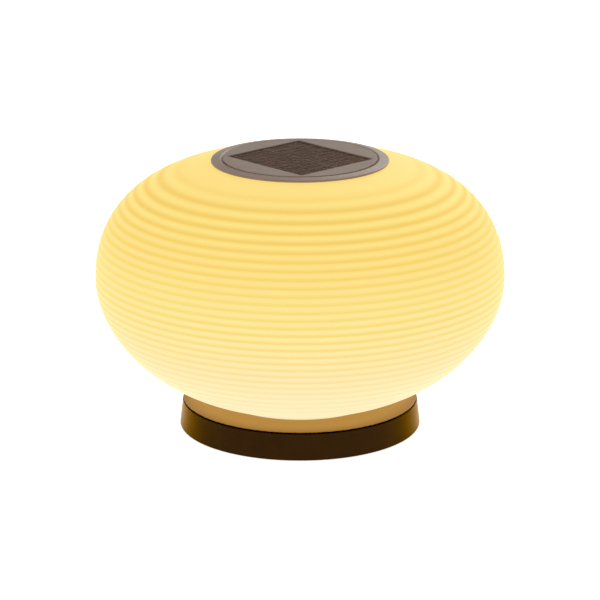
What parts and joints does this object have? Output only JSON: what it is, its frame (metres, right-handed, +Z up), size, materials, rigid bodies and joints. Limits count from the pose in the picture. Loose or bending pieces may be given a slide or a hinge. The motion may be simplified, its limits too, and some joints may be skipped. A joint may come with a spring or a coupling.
{
  "type": "solar lantern",
  "caption": "Round solar table lantern: ribbed translucent shade on a weighted base, with a lift-out solar and lamp unit in its top.",
  "frame": {"origin": "on the table, at the middle of the rubber foot ring's underside", "axes": "+Z up, the shade's axis; -Y towards the front view"},
  "size_m": [0.2402, 0.2402, 0.1617],
  "materials": {
    "shade_plastic": "warm white moulded plastic, translucent, lit from inside",
    "brown_plastic": "dark brown moulded plastic, satin",
    "bronze_lacquer": "dark bronze metallic lacquer on steel, satin",
    "gold_plate": "satin gold coated plate",
    "ballast_steel": "raw cut steel",
    "rubber": "soft moulded rubber",
    "white_plastic": "white moulded plastic",
    "taupe_plastic": "taupe moulded plastic, satin",
    "black_plastic": "black moulded plastic",
    "panel_backing": "pale fibre board",
    "solar_cell": "brownish silicon under clear resin",
    "cell_ribbon": "tinned copper ribbon",
    "clear_resin": "clear cast resin",
    "battery_sleeve": "shrink sleeve",
    "contact_brass": "nickel plated spring brass",
    "zinc_steel": "bright zinc plate",
    "circuit_board": "green solder mask",
    "frosted_lens": "frosted lens",
    "led_phosphor": "warm white phosphor",
    "red_wire": "PVC covered wire",
    "black_wire": "PVC covered wire"
  },
  "bodies": {
    "lantern": {"base_ring": "bronze_lacquer", "base_top_plate": "gold_plate", "base_ballast": "ballast_steel", "base_bottom_cover": "brown_plastic", "foot_ring": "rubber", "cover_screw_1": "zinc_steel", "cover_screw_2": "zinc_steel", "cover_screw_3": "zinc_steel", "clamp_screw_1": "zinc_steel", "clamp_screw_2": "zinc_steel", "clamp_screw_3": "zinc_steel", "shade_clamp_ring": "white_plastic", "shade": "shade_plastic", "shade_collar": "white_plastic"},
    "solar_unit": {"top_bezel": "taupe_plastic", "top_disc": "taupe_plastic", "panel_board": "panel_backing", "cell_strip_01": "solar_cell", "cell_strip_02": "solar_cell", "cell_strip_03": "solar_cell", "cell_strip_04": "solar_cell", "cell_strip_05": "solar_cell", "cell_strip_06": "solar_cell", "cell_strip_07": "solar_cell", "cell_strip_08": "solar_cell", "cell_strip_09": "solar_cell", "cell_strip_10": "solar_cell", "cell_strip_11": "solar_cell", "cell_ribbon": "cell_ribbon", "panel_window": "clear_resin", "panel_carrier": "black_plastic", "unit_gasket": "rubber", "grip_ring": "rubber", "unit_housing": "black_plastic", "unit_screw_1": "zinc_steel", "unit_screw_2": "zinc_steel", "unit_screw_3": "zinc_steel", "unit_screw_4": "zinc_steel", "battery": "battery_sleeve", "battery_contact_plus": "contact_brass", "battery_contact_minus": "contact_brass", "battery_spring": "zinc_steel", "control_board": "circuit_board", "charge_chip": "black_plastic", "boost_coil": "black_plastic", "capacitor": "zinc_steel", "switch_body": "zinc_steel", "led_board": "white_plastic", "led_1": "led_phosphor", "led_2": "led_phosphor", "led_3": "led_phosphor", "lamp_lens": "frosted_lens", "panel_lead_red": "red_wire", "panel_lead_black": "black_wire", "lamp_lead_red": "red_wire", "lamp_lead_black": "black_wire"},
    "battery_door": {"battery_door": "black_plastic"},
    "switch_slider": {"switch_slider": "white_plastic"}
  },
  "joints": [
    {"name": "solar_unit_lift", "type": "slide", "parent": "lantern", "child": "solar_unit", "axis": [0, 0, 1], "range_m": [0, 0.08]},
    {"name": "battery_door_hinge", "type": "hinge", "parent": "solar_unit", "child": "battery_door", "pos_m": [-0.0336, 0.00722, 0.13125], "axis": [0.7278, 0.6858, 0], "range_deg": [0, 90]},
    {"name": "switch_slide", "type": "slide", "parent": "solar_unit", "child": "switch_slider", "axis": [0.6858, -0.7278, 0], "range_m": [0, 0.004]}
  ]
}
